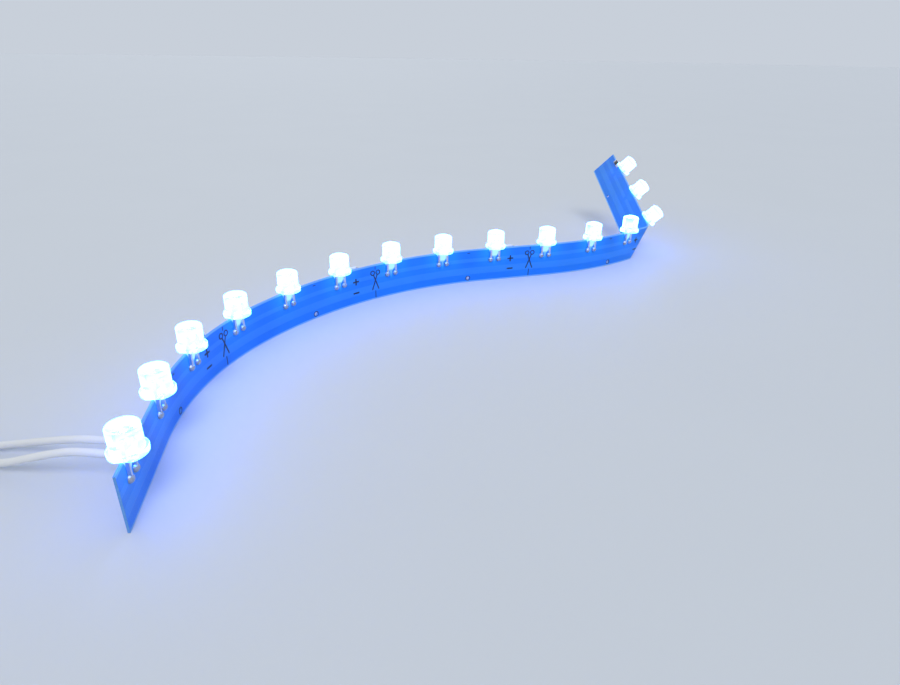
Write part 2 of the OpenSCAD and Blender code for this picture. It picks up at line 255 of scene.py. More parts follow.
def station(s):
    """The matrix that takes a rigid piece from the strip's start, in millimetres, to station s."""
    turn = Matrix.Rotation
    if s - HOOK_AT < BOARD_H * math.tan(HOOK_TILT):
        x0, y0, heading = heading_at(min(s, HOOK_AT))
        place = Matrix.Translation((x0, y0, 0)) @ turn(heading, 4, "Z")
        place = place @ Matrix.Translation((max(s - HOOK_AT, 0), 0, 0))
    else:
        place = Matrix.Translation((HOOK_POSE[0], HOOK_POSE[1], 0)) @ turn(HOOK_POSE[2], 4, "Z")
        place = place @ turn(HOOK_TILT, 4, "Y")
        over = (HOOK_R * math.sin(HOOK_TURN), HOOK_R * (1 - math.cos(HOOK_TURN)), 0)
        place = place @ Matrix.Translation(over)
        place = place @ turn(HOOK_TURN, 4, "Z") @ Matrix.Translation((-HOOK_L, 0, 0))
        place = place @ turn(-HOOK_TILT, 4, "Y") @ Matrix.Translation((s - HOOK_AT, 0, 0))
    return Matrix.Scale(MM, 4) @ Matrix.Translation(SHIFT) @ place


board_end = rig.box("flex_board")[1].x / MM
print("far end, mm:", [round(v / MM, 2) for v in bent(STRIP, 0, 0)],
      "and the board's box ends at", round(board_end, 2))

# %% [markdown]
# ## The camera
# A wide lens that leans over the near end makes the first LED loom large and the tail shrink away.
# The camera here stands 63 mm above the table, looks down by 25 degrees, and keeps a slight roll.
# It stands before the wires are laid, because what it sees decides how much of a cord
# must be drawn loose and how much may be wound up.

# %% Stand the camera up
FOCAL, SENSOR, WIDE, TALL = 589.1, 36.0, 900, 685
CENTRE_U, CENTRE_V = 437.0, 330.5
EYE, NEAREST, FARTHEST = Vector((-32.85, -69.64, 62.87)), 0.005, 20
LOOK, DOWN, ROLL = math.radians(30.27), math.radians(25.34), math.radians(0.88)
lens = bpy.data.cameras.new("camera")
lens.sensor_width = SENSOR
lens.lens = FOCAL / WIDE * SENSOR
lens.shift_x = (WIDE / 2 - CENTRE_U) / WIDE
lens.shift_y = (CENTRE_V - TALL / 2) / WIDE
lens.clip_start, lens.clip_end = NEAREST, FARTHEST
camera = bpy.data.objects.new("camera", lens)
bpy.context.scene.collection.objects.link(camera)
camera.location = (EYE + SHIFT) * MM
aim = Matrix.Rotation(LOOK - math.pi / 2, 4, "Z") @ Matrix.Rotation(math.pi / 2 - DOWN, 4, "X")
camera.rotation_euler = (aim @ Matrix.Rotation(ROLL, 4, "Z")).to_euler()
bpy.context.scene.camera = camera
print("camera at, mm:", [round(v / MM, 1) for v in camera.location])

# %% [markdown]
# ## The supply wires
# Two thin hook-up wires are soldered to the back of the board. They leave it square to the face,
# droop to the table and run out of view. Each is 180 mm long over its insulation, and the part of
# it that nobody sees is wound in one small coil for storage: the first wire takes the inner column
# of turns and the second the outer one, so neither has to cross the other. A smooth curve with a
# round bevel draws a wire best. It is then kept as a mesh, because a curve's box counts the size of
# its control points as well, while its middle line is kept as points and noted with the cord.

# %% Helpers for the wires' lines
WIRE_D, WIRE_L, WIRE_UP, SOLDER_FACE = 1.3, 180.0, 5, 1.29
BARE_ROOT = 2 * WIRE_D
COIL_AT, COIL_LIFT, LAYERS = Vector((-10, 42)), 0.4, 4
TURN_POINTS, HALVINGS = 16, 30


def link(name, mesh):
    """A new object in the scene with this mesh."""
    piece = bpy.data.objects.new(name, mesh)
    bpy.context.scene.collection.objects.link(piece)
    return piece


def mesh_from(bm, name):
    """Keeps a finished bmesh as a mesh and frees it."""
    mesh = bpy.data.meshes.new(name)
    bm.to_mesh(mesh)
    bm.free()
    return mesh


def smooth_line(points, cuts):
    """The same route with each span cut in equal steps along a curve through all of its points."""
    line = []
    for i in range(len(points) - 1):
        a, b = points[max(i - 1, 0)], points[i]
        c, d = points[i + 1], points[min(i + 2, len(points) - 1)]
        for k in range(cuts):
            t = k / cuts
            line.append(0.5 * (2 * b + (c - a) * t + (2 * a - 5 * b + 4 * c - d) * t ** 2
                               + (3 * b - a - 3 * c + d) * t ** 3))
    return line + [points[-1]]


def line_length(points):
    """The length of the straight runs from point to point."""
    return sum((b - a).length for a, b in zip(points, points[1:]))


def turns_of(radius, first, turns, climb):
    """A column of turns. Each lies flat and climbs by one wire between the two angles of climb."""
    points = []
    steps = round(turns * TURN_POINTS)
    for k in range(steps + 1):
        swept = turns * 360 * k / steps
        part = min(max((swept % 360 - climb[0]) / (climb[1] - climb[0]), 0), 1)
        layer = min(swept // 360 + part * part * (3 - 2 * part), LAYERS - 1)
        angle = math.radians(first + swept)
        x, y = COIL_AT.x + radius * math.cos(angle), COIL_AT.y + radius * math.sin(angle)
        points.append(Vector((x, y, COIL_LIFT + WIRE_D * (0.5 + layer))))
    return points


def wire_line(start_s, route, radius, first, climb):
    """The wire's line from its solder to its end, as long as WIRE_L by the number of its turns."""
    x0, y0, heading = heading_at(start_s)
    out = Vector((-math.sin(heading), math.cos(heading), 0))
    start = Vector((x0, y0, WIRE_UP)) + SOLDER_FACE * out
    loose = smooth_line([start, start + BARE_ROOT * out] + [Vector(p) for p in route], 2)
    fewest, most = 1.0, 5.0
    for _ in range(HALVINGS):
        turns = (fewest + most) / 2
        line = loose + turns_of(radius, first, turns, climb)
        if line_length(smooth_line(line, 4)) < WIRE_L + BARE_ROOT:
            fewest = turns
        else:
            most = turns
    return [(p + SHIFT) * MM for p in line], turns


# %% The way of each wire, and how a round wire is made
# For each wire: its station, the points of its loose run, the radius of its column of turns, the
# angle at which the first turn starts, and the two angles between which each turn climbs.
INSULATION_AT = 2
routes = {
    "wire_positive": (12.0, [(5.5, 12.5, 5.4), (3, 17, 5.6), (0.5, 22, 4.4), (-1.5, 27, 2.6),
                             (-3, 31.5, 1.4), (-4.2, 35.2, 1.05), (-3.6, 38.6, 1.05)],
                      6.6, 8, (235, 310)),
    "wire_negative": (15.5, [(8.5, 14.5, 5.2), (6, 20, 5), (4, 26, 3.6), (2.5, 31, 2.2),
                             (0.5, 35.5, 1.2), (-1.8, 38, 1.05)],
                      7.93, 3, (205, 282)),
}


def evaluated_mesh(piece):
    """The mesh of a piece with its modifiers or its bevel applied."""
    graph = bpy.context.evaluated_depsgraph_get()
    return bpy.data.meshes.new_from_object(piece.evaluated_get(graph))


def round_wire(name, points, diameter):
    """A round wire along the points as a mesh, and the middle line of its tube."""
    curve = bpy.data.curves.new(name, "CURVE")
    curve.dimensions = "3D"
    spline = curve.splines.new("BEZIER")
    spline.bezier_points.add(len(points) - 1)
    for knot, point in zip(spline.bezier_points, points):
        knot.co = point
        knot.handle_left_type = knot.handle_right_type = "AUTO"
    spline.resolution_u = 4
    drawn = bpy.data.objects.new(name, curve)
    bpy.context.scene.collection.objects.link(drawn)
    middle = [v.co.copy() for v in evaluated_mesh(drawn).vertices]
    curve.bevel_depth = diameter / 2 * MM
    curve.bevel_resolution = 4
    curve.use_fill_caps = True
    bm = bmesh.new()
    bm.from_mesh(evaluated_mesh(drawn))
    bpy.data.objects.remove(drawn)
    bmesh.ops.remove_doubles(bm, verts=bm.verts, dist=0.001 * MM)
    bmesh.ops.recalc_face_normals(bm, faces=bm.faces)
    for face in bm.faces:
        face.smooth = len(face.verts) == 4
    return link(name, mesh_from(bm, name)), middle


WOUND = 6


def bare_end(name, points, strand_d=0.21, pitch=7.0):
    """Seven fine strands along the points: one in the middle and six wound round it."""
    core, middle = round_wire(name, points, strand_d)
    bm = bmesh.new()
    bm.from_mesh(core.data)
    for k in range(WOUND):
        wound, run = [], 0.0
        for i, point in enumerate(middle):
            ahead = (middle[min(i + 1, len(middle) - 1)] - middle[max(i - 1, 0)]).normalized()
            side = ahead.cross((0, 0, 1)).normalized()
            run += (point - middle[max(i - 1, 0)]).length / MM
            angle = math.radians(360 / WOUND * k + 360 * run / pitch)
            across = math.cos(angle) * side + math.sin(angle) * side.cross(ahead)
            wound.append(point + strand_d * MM * across)
        strand = round_wire(name + "_wound", wound, strand_d)[0]
        bm.from_mesh(strand.data)
        bpy.data.objects.remove(strand)
    bm.to_mesh(core.data)
    bm.free()
    return core


# %% Lay both wires
TIP_L, TIP_IN, INTO_SOLDER, UNDER_SKIN = 3.0, (0.1, 0.6), 0.2, 0.6
coil_middle = (Vector((*COIL_AT, 0)) + SHIFT) * MM
wires, strands = {}, []
for name, (start_s, route, radius, first, climb) in routes.items():
    line, turns = wire_line(start_s, route, radius, first, climb)
    wire, middle = round_wire(name + "_insulation", line[INSULATION_AT:], WIRE_D)
    root = line[0] + (line[0] - line[1]) * INTO_SOLDER
    strand = bare_end(name + "_strands", [root, *line[:4]])
    ahead = (line[-1] - line[-2]).normalized()
    inward = ((coil_middle - line[-1]) * Vector((1, 1, 0))).normalized()
    half, whole = (line[-1] + (ahead * TIP_L * share + inward * bow) * MM
                   for share, bow in zip((0.5, 1), TIP_IN))
    tip = bare_end(name + "_tip", [line[-2].lerp(line[-1], UNDER_SKIN), line[-1], half, whole])
    strands += [strand, tip]
    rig.cord(wire, exit=line[INSULATION_AT], length=WIRE_L * MM, diameter=WIRE_D * MM,
            far_end="bare", stiffness="limp", lay="coiled", path=middle, with_pieces=[strand, tip])
    wires[name] = wire
    print(name, "turns", round(turns, 2), "length, mm:", round(line_length(line) / MM, 1))

for piece in [*wires.values(), *strands]:
    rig.ride(piece, "root")
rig.replaces(wires["wire_positive"], "wire_positive", "lead_coil")
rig.replaces(wires["wire_negative"], "wire_negative")
for wire in wires.values():
    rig.slot(wire, "wire_light")
for piece in strands:
    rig.slot(piece, "solder")

# %% [markdown]
# ## The stage
# The table is one plain pale sheet, and the light is soft: a bright, even sky and two broad lamps,
# which give the edges of the board a gentle shade and the epoxy a highlight. A sheet that runs to
# the horizon needs the sky to be as pale as itself there, so the sky has that plain colour for the
# camera, in gloss and through the epoxy, and a dimmer one as the light on everything else.

# %% Lay the table and hang the lamps
TABLE_R, TABLE_DROP = 6, 0.05
bm = bmesh.new()
bmesh.ops.create_circle(bm, cap_ends=True, segments=64, radius=TABLE_R)
bmesh.ops.translate(bm, verts=bm.verts, vec=(0, 0, -TABLE_DROP * MM))
table = link("table", mesh_from(bm, "table"))
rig.stage(table)


def lamp(name, place, angle, strength, colour):
    """A far and broad lamp, so that it lights the near and the far end alike."""
    light = bpy.data.lights.new(name, "SUN")
    light.angle, light.energy, light.color = math.radians(angle), strength, colour
    stand = bpy.data.objects.new(name, light)
    stand.rotation_euler = (-Vector(place)).to_track_quat("-Z", "Y").to_euler()
    bpy.context.scene.collection.objects.link(stand)


lamp("key", (-0.45, -0.35, 0.8), 30, 1.25, (1.0, 0.99, 0.97))
lamp("fill", (0.5, 0.5, 0.7), 60, 0.35, (0.97, 0.98, 1.0))

SKY, SKY_LIGHT, SKY_STRENGTH = (0.579, 0.628, 0.701, 1), (0.9, 0.95, 1.0, 1), 0.55
world = bpy.data.worlds.new("sky")
bpy.context.scene.world = world
world.use_nodes = True
sky_nodes, sky_links = world.node_tree.nodes, world.node_tree.links
soft = sky_nodes["Background"]
soft.inputs["Color"].default_value = SKY_LIGHT
soft.inputs["Strength"].default_value = SKY_STRENGTH
seen = sky_nodes.new("ShaderNodeBackground")
seen.inputs["Color"].default_value = SKY
seen.inputs["Strength"].default_value = 1
rays = sky_nodes.new("ShaderNodeLightPath")
either = sky_nodes.new("ShaderNodeMath")
either.operation = "MAXIMUM"
clear = sky_nodes.new("ShaderNodeMath")
clear.operation = "MAXIMUM"
sky_links.new(rays.outputs["Is Camera Ray"], either.inputs[0])
sky_links.new(rays.outputs["Is Glossy Ray"], either.inputs[1])
sky_links.new(either.outputs[0], clear.inputs[0])
sky_links.new(rays.outputs["Is Transmission Ray"], clear.inputs[1])
mix = sky_nodes.new("ShaderNodeMixShader")
sky_links.new(clear.outputs[0], mix.inputs[0])
sky_links.new(soft.outputs[0], mix.inputs[1])
sky_links.new(seen.outputs[0], mix.inputs[2])
sky_links.new(mix.outputs[0], sky_nodes["World Output"].inputs["Surface"])
bpy.context.scene.view_settings.view_transform = "Standard"
print("lamps:", [o.name for o in bpy.data.objects if o.type == "LIGHT"])

# %% [markdown]
# ## Finishes
# Every real surface here varies a little: the tint drifts, the gloss is uneven and the skin is not
# quite flat. One small helper gives a finish those three things from two noises read in the
# object's own millimetres. A finish with something special, such as the board's mask or the lit
# epoxy, starts from it and adds its own nodes.

# %% A finish with drift in tint, gloss and skin
def socket(kind, nodes, **settings):
    """A node with its settings made: properties by name, and inputs as in_ and number or name."""
    node = nodes.new("ShaderNode" + kind)
    for key, value in settings.items():
        if key.startswith("in_"):
            key = key[3:]
            node.inputs[int(key) if key.isdigit() else key.replace("_", " ")].default_value = value
        else:
            setattr(node, key, value)
    return node


def finish(name, tint, other, rough, grain=3.0, fine=14.0, depth=0.004, metal=0.0, **constants):
    """A material whose tint drifts between two colours, with uneven gloss and a fine skin."""
    material = bpy.data.materials.new(name)
    material.use_nodes = True
    nodes, links = material.node_tree.nodes, material.node_tree.links
    shader = nodes["Principled BSDF"]
    shader.inputs["Metallic"].default_value = metal
    for key, value in constants.items():
        shader.inputs[key.replace("_", " ")].default_value = value
    where = nodes.new("ShaderNodeTexCoord")
    scaled = socket("Mapping", nodes, in_Scale=(1 / MM,) * 3)
    links.new(where.outputs["Object"], scaled.inputs["Vector"])
    drift = socket("TexNoise", nodes, in_Scale=1 / grain, in_Detail=3.0)
    skin = socket("TexNoise", nodes, in_Scale=fine, in_Detail=4.0)
    for noise in (drift, skin):
        links.new(scaled.outputs["Vector"], noise.inputs["Vector"])
    blend = socket("Mix", nodes, data_type="RGBA", in_6=(*tint, 1), in_7=(*other, 1))
    links.new(drift.outputs["Fac"], blend.inputs[0])
    links.new(blend.outputs[2], shader.inputs["Base Color"])
    gloss = socket("MapRange", nodes, in_1=0.3, in_2=0.7, in_3=rough[0], in_4=rough[1])
    links.new(skin.outputs["Fac"], gloss.inputs[0])
    links.new(gloss.outputs[0], shader.inputs["Roughness"])
    bump = socket("Bump", nodes, in_Strength=1.0, in_Distance=depth * MM)
    links.new(skin.outputs["Fac"], bump.inputs["Height"])
    links.new(bump.outputs["Normal"], shader.inputs["Normal"])
    return material


pale = finish("pale_table", (0.60, 0.64, 0.70), (0.62, 0.66, 0.72), (0.42, 0.5),
              grain=60, fine=2, depth=0.001, Specular_IOR_Level=0.1)
table.data.materials.append(pale)
insulation = finish("wire_insulation", (0.70, 0.72, 0.74), (0.78, 0.79, 0.80), (0.28, 0.42),
                    grain=8, fine=3, depth=0.01, Coat_Weight=0.15, Coat_Roughness=0.2)
tinned = finish("tinned_copper", (0.72, 0.71, 0.68), (0.86, 0.85, 0.83), (0.22, 0.45),
                grain=1, fine=6, depth=0.02, metal=1.0)
for wire in wires.values():
    wire.data.materials.append(insulation)
for piece in strands:
    piece.data.materials.append(tinned)
print("finishes:", [m.name for m in bpy.data.materials if m.users])

# %% [markdown]
# ## The board
# The ribbon is polyimide film and copper under a satin solder mask, 0.4 mm thick. It is made here
# as it is in the factory: a flat sheet is cut into fine cells, given its thickness, drilled with
# one pilot hole for each group, and only then bent. A box with a bend modifier could not follow
# arcs and a slanted hook. The flat coordinates are kept as a UV map in millimetres, so a pattern
# in the mask follows the board round every bend.

# %% Cut, thicken and drill the flat sheet
CELL = 0.5
bm = bmesh.new()
bmesh.ops.create_grid(bm, x_segments=int(STRIP / CELL), y_segments=int(BOARD_H / CELL), size=0.5)
bmesh.ops.scale(bm, verts=bm.verts, vec=(STRIP, BOARD_H, 1))
bmesh.ops.rotate(bm, verts=bm.verts, matrix=Matrix.Rotation(math.pi / 2, 3, "X"))
bmesh.ops.translate(bm, verts=bm.verts, vec=(STRIP / 2, -BOARD_T / 2, BOARD_H / 2))
sheet = bmesh.ops.extrude_face_region(bm, geom=bm.faces[:] + bm.edges[:] + bm.verts[:])
moved = [v for v in sheet["geom"] if isinstance(v, bmesh.types.BMVert)]
bmesh.ops.translate(bm, verts=moved, vec=(0, BOARD_T, 0))
bmesh.ops.recalc_face_normals(bm, faces=bm.faces)
flat = link("flat_board", mesh_from(bm, "flat_board"))

HOLE_D, HOLE_W = 1.0, 1.2
hole_stations = [FIRST_LED + g * GROUP + 1.5 * PITCH for g in range(LEDS // PER_GROUP)]
bm = bmesh.new()
for s in hole_stations:
    drill = bmesh.ops.create_cone(bm, cap_ends=True, segments=32, depth=4 * BOARD_T,
                                  radius1=HOLE_D / 2, radius2=HOLE_D / 2)["verts"]
    bmesh.ops.rotate(bm, verts=drill, matrix=Matrix.Rotation(math.pi / 2, 3, "X"))
    bmesh.ops.translate(bm, verts=drill, vec=(s, 0, HOLE_W))
drills = link("drills", mesh_from(bm, "drills"))
cut = flat.modifiers.new("pilot_holes", "BOOLEAN")
cut.operation, cut.object, cut.solver = "DIFFERENCE", drills, "EXACT"
drilled = evaluated_mesh(flat)
for used in (flat, drills):
    bpy.data.objects.remove(used)
print("drilled board:", len(drilled.polygons), "faces")

# %% Map it flat, bend it and ease its edges
FRONT, BACK, EDGE = 0, 1, 2


def bend_mesh(bm, uv_name=None):
    """Keeps the flat coordinates of a bmesh as a UV map, if it is named, and bends the mesh."""
    if uv_name:
        layer = bm.loops.layers.uv.new(uv_name)
        for face in bm.faces:
            for loop in face.loops:
                loop[layer].uv = (loop.vert.co.x, loop.vert.co.z)
    for vert in bm.verts:
        vert.co = bent(vert.co.x, vert.co.y, vert.co.z)


def ease_edges(piece, width):
    """Rounds every sharp edge of a piece, with a modifier that comes after those it has."""
    ease = piece.modifiers.new("eased_edges", "BEVEL")
    ease.width, ease.segments = width * MM, 2
    ease.limit_method, ease.angle_limit = "ANGLE", math.radians(60)


bm = bmesh.new()
bm.from_mesh(drilled)
bmesh.ops.remove_doubles(bm, verts=bm.verts, dist=0.001)
for face in bm.faces:
    face.material_index = EDGE if abs(face.normal.y) < 0.5 else BACK if face.normal.y > 0 else FRONT
    face.smooth = True
bend_mesh(bm, "strip_mm")
board = link("board", mesh_from(bm, "board"))
board.data.set_sharp_from_angle(angle=math.radians(40))
ease_edges(board, 0.05)
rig.ride(board, "root")
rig.replaces(board, "flex_board")
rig.slot(board, "board_mask")
print("board:", len(board.data.polygons), "faces")

# %% [markdown]
# ## The solder mask
# The only light on the board is its own LEDs', so the mask is finished in the clear blue that it
# shows. Copper shows through a mask as a faint step with a lighter tint: on this side a wide
# supply rail runs along the foot of the board, and a short link joins each LED to the next. The
# mask stops just short of both long edges, where the bare film is a thin pale line. The light that
# leaks from each LED's foot makes a bright wedge on the board under it. All of these come from
# plain sums on the flat coordinates, because they are the same at every LED and a picture of them
# would have to be redrawn for each length of strip.

# %% Sums on the flat coordinates
def sums(nodes, links):
    """Three helpers on one node tree: any maths node, a soft step and a soft-edged stripe."""
    def math_of(operation, *values):
        node = socket("Math", nodes, operation=operation)
        for slot, value in zip(node.inputs, values):
            if isinstance(value, (int, float)):
                slot.default_value = value
            else:
                links.new(value, slot)
        return node.outputs[0]

    def step(value, start, end):
        node = socket("MapRange", nodes, interpolation_type="SMOOTHSTEP", in_1=start, in_2=end)
        links.new(value, node.inputs[0])
        return node.outputs[0]

    def stripe(value, middle, start, end):
        away = math_of("ABSOLUTE", math_of("SUBTRACT", value, middle))
        return math_of("SUBTRACT", 1, step(away, start, end))
    return math_of, step, stripe


def flat_coordinates(nodes, links, math_of):
    """s and w on the flat strip, and the distance along it to the nearest LED's axis."""
    strip = socket("UVMap", nodes, uv_map="strip_mm")
    parts = nodes.new("ShaderNodeSeparateXYZ")
    links.new(strip.outputs["UV"], parts.inputs[0])
    s, w = parts.outputs[0], parts.outputs[1]
    from_first = math_of("ADD", s, PITCH / 2 - FIRST_LED)
    beside = math_of("SUBTRACT", math_of("FLOORED_MODULO", from_first, PITCH), PITCH / 2)
    return s, w, math_of("ABSOLUTE", beside)


# %% The mask on the front and on the back
MASK, MASK_PALE = (0.004, 0.18, 0.84), (0.012, 0.25, 0.93)
COPPER_TINT, COPPER_SHARE, COPPER_T = (0.06, 0.34, 0.95, 1), 0.35, 0.03
FILM_TINT, FILM_SHARE, FILM_EDGE = (0.26, 0.58, 0.98, 1), 0.7, (0.3, 0.42)
# The height of each copper track on the strip, and the distances over which it fades out.
RAIL, LINK_ROW, LINK_GAP = (3.4, 0.95, 1.1), (6.7, 0.5, 0.62), (0.9, 1.0)
# Beside an LED, and up the strip, each kind of light fades between two distances.
WEDGE_SIDE, WEDGE_UP, WEDGE_FROM, WEDGE_HALF = (-0.15, 0.35), (6.9, 8.2), 7.4, (0.7, 2.1)
STREAK_SIDE, STREAK_UP, STREAK_SHARE = (0.15, 0.55), (4.4, 7.6), 0.35
WASH_SIDE, WASH_UP, WASH_SHARE = (1.5, 7.5), (2.0, 10.0), 0.16
GLOW_FULL, GLOW_LOW, GLOW_LOW_AT = (0.45, 0.75, 1.0, 1), (0.004, 0.10, 0.20, 1), 0.2


def mask_finish(name, with_light):
    """The satin mask over its copper, with the LEDs' light on it if it faces them."""
    material = finish(name, MASK, MASK_PALE, (0.30, 0.42), grain=7, fine=5, depth=0.004,
                      Coat_Weight=0.1, Coat_Roughness=0.25, Specular_IOR_Level=0.3)
    nodes, links = material.node_tree.nodes, material.node_tree.links
    shader, bump = nodes["Principled BSDF"], nodes["Bump"]
    math_of, step, stripe = sums(nodes, links)
    s, w, beside = flat_coordinates(nodes, links, math_of)
    between = math_of("MULTIPLY", stripe(w, *LINK_ROW), step(beside, *LINK_GAP))
    copper = math_of("MAXIMUM", stripe(w, *RAIL), between)
    tinted = socket("Mix", nodes, data_type="RGBA", in_7=COPPER_TINT)
    links.new(math_of("MULTIPLY", copper, COPPER_SHARE), tinted.inputs[0])
    links.new(shader.inputs["Base Color"].links[0].from_socket, tinted.inputs[6])
    from_edge = math_of("MINIMUM", w, math_of("SUBTRACT", BOARD_H, w))
    film = socket("Mix", nodes, data_type="RGBA", in_7=FILM_TINT)
    links.new(math_of("MULTIPLY", stripe(from_edge, 0, *FILM_EDGE), FILM_SHARE), film.inputs[0])
    links.new(tinted.outputs[2], film.inputs[6])
    links.new(film.outputs[2], shader.inputs["Base Color"])
    relief = socket("Bump", nodes, in_Strength=0.6, in_Distance=COPPER_T * MM)
    links.new(copper, relief.inputs["Height"])
    links.new(bump.outputs["Normal"], relief.inputs["Normal"])
    links.new(relief.outputs["Normal"], shader.inputs["Normal"])
    if with_light:
        half = socket("MapRange", nodes, in_1=WEDGE_FROM, in_2=BOARD_H,
                      in_3=WEDGE_HALF[0], in_4=WEDGE_HALF[1])
        links.new(w, half.inputs[0])
        inside = step(math_of("SUBTRACT", half.outputs[0], beside), *WEDGE_SIDE)
        wedge = math_of("MULTIPLY", inside, step(w, *WEDGE_UP))
        streak = math_of("MULTIPLY", stripe(beside, 0, *STREAK_SIDE), step(w, *STREAK_UP))
        wash = math_of("MULTIPLY", stripe(beside, 0, *WASH_SIDE), step(w, *WASH_UP))
        foot = math_of("MAXIMUM", wedge, math_of("MULTIPLY", streak, STREAK_SHARE))
        light = math_of("ADD", math_of("MULTIPLY", wash, WASH_SHARE), foot)
        glow = nodes.new("ShaderNodeValToRGB")
        glow.color_ramp.elements[0].color = (0, 0, 0, 1)
        glow.color_ramp.elements[1].color = GLOW_FULL
        glow.color_ramp.elements.new(GLOW_LOW_AT).color = GLOW_LOW
        links.new(light, glow.inputs[0])
        links.new(glow.outputs[0], shader.inputs["Emission Color"])
        shader.inputs["Emission Strength"].default_value = 1.0
    return material


# The cut edges are painted a dark blue. This is painted shade under the LEDs' blue light, not the film's own colour.
shaded_cut_edge = finish("cut_film_painted_shade", (0.07, 0.25, 0.66), (0.16, 0.38, 0.80), (0.5, 0.7),
                  grain=0.8, fine=9, depth=0.02)
for material in (mask_finish("mask_front", True), mask_finish("mask_back", False), shaded_cut_edge):
    board.data.materials.append(material)
print("board finishes:", [m.name for m in board.data.materials])

# %% [markdown]
# ## The straw-hat LEDs
# Each LED is one casting of clear epoxy: a thin round flange with a flat beside its cathode, a
# straight barrel, and a low dome with a rounded rim that throws the light wide. A casting that is
# round about its axis is best spun from half of its outline. The flat is then one cut by a plane,
# and one mesh serves all fifteen, each carried to its own station before it is kept.

# %% Spin one lens
LENS_R, FLANGE_R, FLANGE_H, LENS_H, DOME_H = 2.4, 2.9, 0.9, 4.6, 0.7
FLAT, RIM, LOW_EASE, TOP_EASE = 0.4, 0.38, 0.1, 0.15
DOME_R = (LENS_R ** 2 + DOME_H ** 2) / (2 * DOME_H)


def dome_z(r):
    """The height of the dome at this distance from the lens's axis."""
    return LENS_H + DOME_H - DOME_R + math.sqrt(DOME_R ** 2 - r ** 2)


def spun(profile, segments=48):
    """A closed solid spun about Z from (radius, height) pairs that start and end on the axis."""
    bm = bmesh.new()
    verts = [bm.verts.new((r, 0, z)) for r, z in profile]
    edges = [bm.edges.new(pair) for pair in zip(verts, verts[1:])]
    bmesh.ops.spin(bm, geom=verts + edges, cent=(0, 0, 0), axis=(0, 0, 1), steps=segments,
                   angle=2 * math.pi, use_merge=True)
    bmesh.ops.remove_doubles(bm, verts=bm.verts, dist=0.0005)
    bmesh.ops.recalc_face_normals(bm, faces=bm.faces)
    return bm


def arc(centre, radius, start, end, steps):
    """Points of an arc in the outline's plane, between two angles in degrees."""
    angles = [math.radians(start + (end - start) * k / steps) for k in range(steps + 1)]
    return [(centre[0] + radius * math.cos(a), centre[1] + radius * math.sin(a)) for a in angles]


lens_outline = [(0, 0), (1.5, 0)]
lens_outline += arc((FLANGE_R - LOW_EASE, LOW_EASE), LOW_EASE, -90, 0, 3)
lens_outline += arc((FLANGE_R - TOP_EASE, FLANGE_H - TOP_EASE), TOP_EASE, 0, 90, 4)
lens_outline += [(LENS_R + out, FLANGE_H + up) for out, up in ((0.12, 0), (0.03, 0.05), (0, 0.15))]
lens_outline += [(LENS_R, 2.2), (LENS_R, 3.4)]
rim_top = dome_z(LENS_R - RIM)
lens_outline += arc((LENS_R - RIM, rim_top - RIM), RIM, 0, 80, 6)
lens_outline += [(r, dome_z(r)) for r in (1.7, 1.3, 0.9, 0.5, 0.2, 0)]
lens_bm = spun(lens_outline)
whole_lens = lens_bm.faces[:] + lens_bm.edges[:] + lens_bm.verts[:]
bmesh.ops.bisect_plane(lens_bm, geom=whole_lens, plane_co=(FLAT - FLANGE_R, 0, 0),
                       plane_no=(-1, 0, 0), clear_outer=True)
bmesh.ops.holes_fill(lens_bm, edges=[e for e in lens_bm.edges if e.is_boundary], sides=0)
bmesh.ops.recalc_face_normals(lens_bm, faces=lens_bm.faces)
for face in lens_bm.faces:
    face.smooth = True

# How brightly each point shines: little in the flange, a bit more at the step above it, and
# least of all round the rim of the dome.
LIT_FOOT, LIT_STEP, STEP_REACH, FOOT_TOP = 0.25, 0.3, 0.3, FLANGE_H + 0.1
LIT_RIM, RIM_OUT, RIM_REACH, RIM_FROM = 0.15, LENS_R - 0.1, 0.9, LENS_H - 0.4
lit = lens_bm.verts.layers.float.new("lit")
for vert in lens_bm.verts:
    r, z = vert.co.xy.length, vert.co.z
    foot = rim = 1.0
    if z < FOOT_TOP:
        foot = LIT_FOOT + LIT_STEP * max(0, 1 - abs(z - FLANGE_H) / STEP_REACH)
    if z > RIM_FROM:
        rim = min(max((RIM_OUT - r) / RIM_REACH, 0), 1)
    vert[lit] = foot * (LIT_RIM + (1 - LIT_RIM) * rim)
lens_mesh = mesh_from(lens_bm, "lens_pattern")
lens_top = max(v.co.z for v in lens_mesh.vertices)
print("lens:", len(lens_mesh.polygons), "faces, top at", round(lens_top, 2))

# %% [markdown]
# ## Lit epoxy
# A clear LED that is lit is hard to look into: the whole casting fills with light, and only the
# edges of the lead frame still show inside it. Real light from a chip of a third of a millimetre
# would need thousands of samples to find its way out, so the casting itself shines instead. It is
# nearly white in the barrel and blue at the flange and round the rim of the dome, where less of
# the chip's light comes out. A number kept on each point of the casting says which. It is still
# clear to look through, and its light falls on the board and the table in the LED's own blue.

